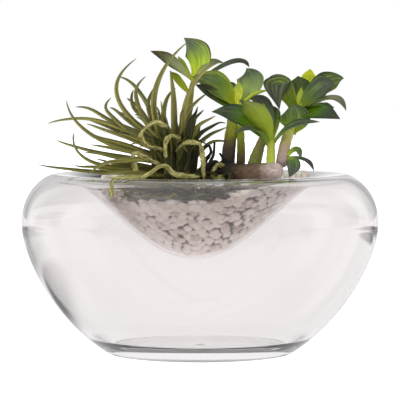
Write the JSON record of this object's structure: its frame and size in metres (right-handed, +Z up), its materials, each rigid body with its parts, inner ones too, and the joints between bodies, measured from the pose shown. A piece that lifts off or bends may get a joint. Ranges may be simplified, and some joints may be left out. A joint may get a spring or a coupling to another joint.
{
  "type": "succulent arrangement in vase",
  "caption": "Wide double-walled glass vase whose cone-shaped top bowl holds white pebbles, a slender grass-like succulent and a branching succulent with broad leaves.",
  "frame": {"origin": "centre of the vase's foot, on the surface it stands on", "axes": "+Z up, -Y towards the front of the arrangement, +X to the right seen from the front"},
  "size_m": [0.3, 0.3, 0.2655],
  "materials": {
    "glass": "clear, fire-polished",
    "pebbles": "dull, slightly rough",
    "bark": "rough, dry",
    "stem": "smooth, green",
    "leaf_green": "waxy leaf",
    "leaf_lime": "young waxy leaf",
    "leaf_dusk": "waxy leaf with dusky bloom",
    "blade": "satin leaf",
    "straw": "dry leaf strip"
  },
  "bodies": {
    "root": {"glass_vase": "glass", "trunk": "bark", "stem_tall": "stem", "stem_middle": "stem", "stem_side": "stem", "stem_short": "stem", "stem_front": "stem", "stem_right": "stem", "pebble_bed": "pebbles", "grass_tuft": "blade", "leaf_top_upright": "leaf_green", "leaf_top_left": "leaf_green", "leaf_top_lower": "leaf_lime", "leaf_top_small": "leaf_lime", "leaf_top_right": "leaf_green", "leaf_top_arched": "leaf_dusk", "leaf_middle_striped": "leaf_green", "leaf_middle_dark": "leaf_dusk", "leaf_middle_heart": "leaf_lime", "leaf_middle_broad": "leaf_green", "leaf_middle_side": "leaf_lime", "leaf_middle_back": "leaf_green", "leaf_front_front": "leaf_green", "leaf_front_rising": "leaf_green", "leaf_front_long": "leaf_green", "leaf_front_droop": "leaf_dusk", "leaf_front_top": "leaf_dusk", "leaf_front_heart": "leaf_lime", "leaf_front_right": "leaf_green", "leaf_front_sweep": "leaf_green", "leaf_right_droop": "leaf_dusk", "leaf_right_edge": "leaf_dusk", "leaf_right_back": "leaf_green", "leaf_right_lime": "leaf_lime", "leaf_right_heart": "leaf_lime", "leaf_right_inner": "leaf_lime", "leaf_right_blue": "leaf_dusk", "leaf_right_far": "leaf_green", "leaf_right_curl": "leaf_green", "leaf_right_brown": "leaf_green", "leaf_right_low": "leaf_green", "leaf_right_cheek": "leaf_green", "leaf_low_down": "leaf_dusk", "leaf_low_arched": "leaf_dusk", "leaf_low_small": "leaf_lime", "blade_rim_left": "blade", "blade_far_left": "blade", "blade_high_left": "blade", "blade_sweep_left": "blade", "blade_hook_left": "blade", "blade_tall_left": "blade", "blade_spear": "blade", "blade_tall": "blade", "blade_reach": "blade", "curl_loop": "straw", "curl_tall": "straw", "curl_leg": "straw", "curl_spur": "straw", "curl_zigzag": "straw", "curl_hook": "straw"}
  },
  "joints": []
}
